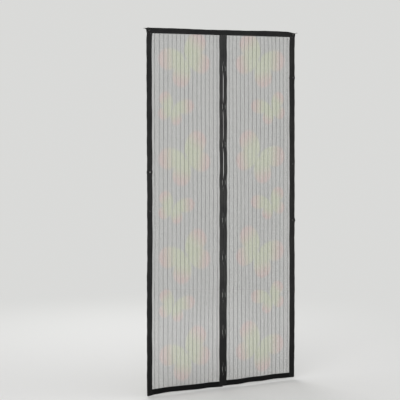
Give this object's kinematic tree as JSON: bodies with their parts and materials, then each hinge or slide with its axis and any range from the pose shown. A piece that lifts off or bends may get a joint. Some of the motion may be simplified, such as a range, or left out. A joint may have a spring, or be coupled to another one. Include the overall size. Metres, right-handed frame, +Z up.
{
  "type": "magnetic insect door screen",
  "caption": "Door screen of two striped grey net panels bound in black tape, drawn shut along the middle by magnets in sewn sleeves, with hook-and-loop tape and pins to fix it to the frame.",
  "frame": {"origin": "middle of the back face of the top hook tape, where it sticks to the door frame", "axes": "+Z up along the meeting edges, +Y into the door frame, +X to the right as seen from the room"},
  "size_m": [1.02, 0.0181, 2.1],
  "materials": {
    "net": "fine polyester net with dark striped yarns and a faint pastel print",
    "binding": "matt black woven tape, folded and sewn",
    "magnet": "pressed and ground ferrite bar",
    "hook": "moulded hook tape with a self-adhesive back",
    "loop": "brushed loop tape",
    "pin": "black enamel"
  },
  "bodies": {
    "root": {"left_net": "net", "right_net": "net", "top_binding": "binding", "left_binding": "binding", "right_binding": "binding", "left_hem": "binding", "right_hem": "binding", "left_sleeve": "binding", "right_sleeve": "binding", "magnet_left_1": "magnet", "magnet_left_2": "magnet", "magnet_left_3": "magnet", "magnet_left_4": "magnet", "magnet_left_5": "magnet", "magnet_left_6": "magnet", "magnet_left_7": "magnet", "magnet_left_8": "magnet", "magnet_left_9": "magnet", "magnet_right_1": "magnet", "magnet_right_2": "magnet", "magnet_right_3": "magnet", "magnet_right_4": "magnet", "magnet_right_5": "magnet", "magnet_right_6": "magnet", "magnet_right_7": "magnet", "magnet_right_8": "magnet", "magnet_right_9": "magnet", "top_loop_tape": "loop", "left_loop_tape": "loop", "right_loop_tape": "loop", "top_hook_tape": "hook", "left_hook_tape": "hook", "right_hook_tape": "hook", "pin_top_left": "pin", "pin_top_right": "pin", "pin_left_1": "pin", "pin_left_2": "pin", "pin_right_1": "pin", "pin_right_2": "pin", "pin_right_3": "pin"}
  },
  "joints": []
}
